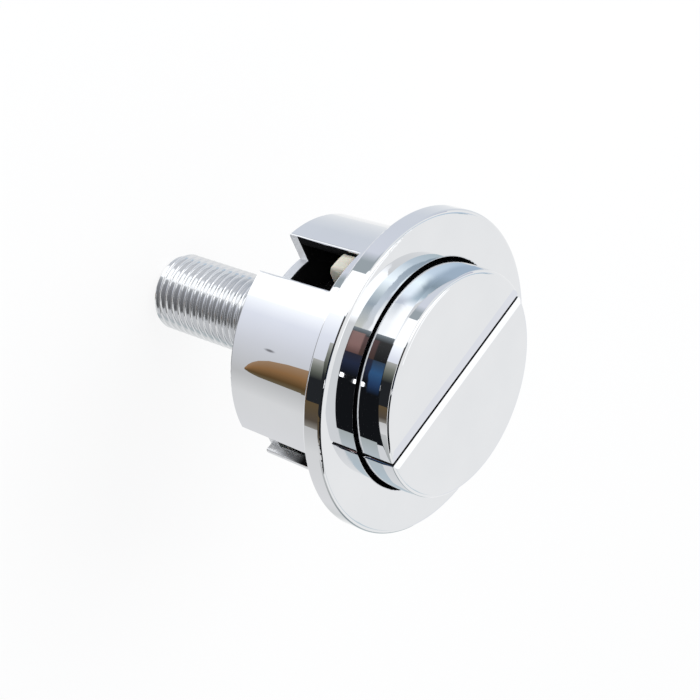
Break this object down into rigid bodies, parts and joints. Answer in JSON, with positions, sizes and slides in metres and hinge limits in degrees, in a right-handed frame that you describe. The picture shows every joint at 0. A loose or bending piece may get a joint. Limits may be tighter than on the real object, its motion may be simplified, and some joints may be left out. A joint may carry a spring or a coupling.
{
  "type": "dual-flush cistern push button",
  "caption": "Round chrome dual-flush push button for a cistern lid: a flanged housing with sprung half-moon buttons and a threaded stud behind.",
  "frame": {"origin": "centre of the flange's underside, where it sits on the cistern lid", "axes": "+Z out through the button faces, X along the split between the buttons, +Y towards the half-flush button"},
  "size_m": [0.055, 0.055, 0.0632],
  "materials": {
    "housing_chrome": "bright chrome plate on moulded plastic",
    "button_chrome": "bright chrome plate on moulded plastic",
    "stud_metal": "satin nickel plate on a fine thread",
    "fastener_steel": "bright zinc plate",
    "spring_steel": "drawn stainless wire",
    "slider_plastic": "natural moulded acetal"
  },
  "bodies": {
    "housing_body": {"housing": "housing_chrome", "threaded_stud": "stud_metal", "stud_washer": "fastener_steel", "stud_nut": "fastener_steel", "half_flush_spring_left": "spring_steel", "half_flush_spring_right": "spring_steel", "full_flush_spring_left": "spring_steel", "full_flush_spring_right": "spring_steel"},
    "half_flush_button": {"half_flush_cap": "button_chrome", "half_flush_slider": "slider_plastic", "half_flush_screw_left": "fastener_steel", "half_flush_screw_right": "fastener_steel"},
    "full_flush_button": {"full_flush_cap": "button_chrome", "full_flush_slider": "slider_plastic", "full_flush_screw_left": "fastener_steel", "full_flush_screw_right": "fastener_steel"}
  },
  "joints": [
    {"name": "half_flush_press", "type": "slide", "parent": "housing_body", "child": "half_flush_button", "axis": [0, 0, -1], "range_m": [0, 0.0055], "stiffness_N_per_m": 700, "springref_m": -0.0025, "deforming": ["half_flush_spring_left", "half_flush_spring_right"]},
    {"name": "full_flush_press", "type": "slide", "parent": "housing_body", "child": "full_flush_button", "axis": [0, 0, -1], "range_m": [0, 0.0055], "stiffness_N_per_m": 900, "springref_m": -0.0025, "deforming": ["full_flush_spring_left", "full_flush_spring_right"]}
  ]
}
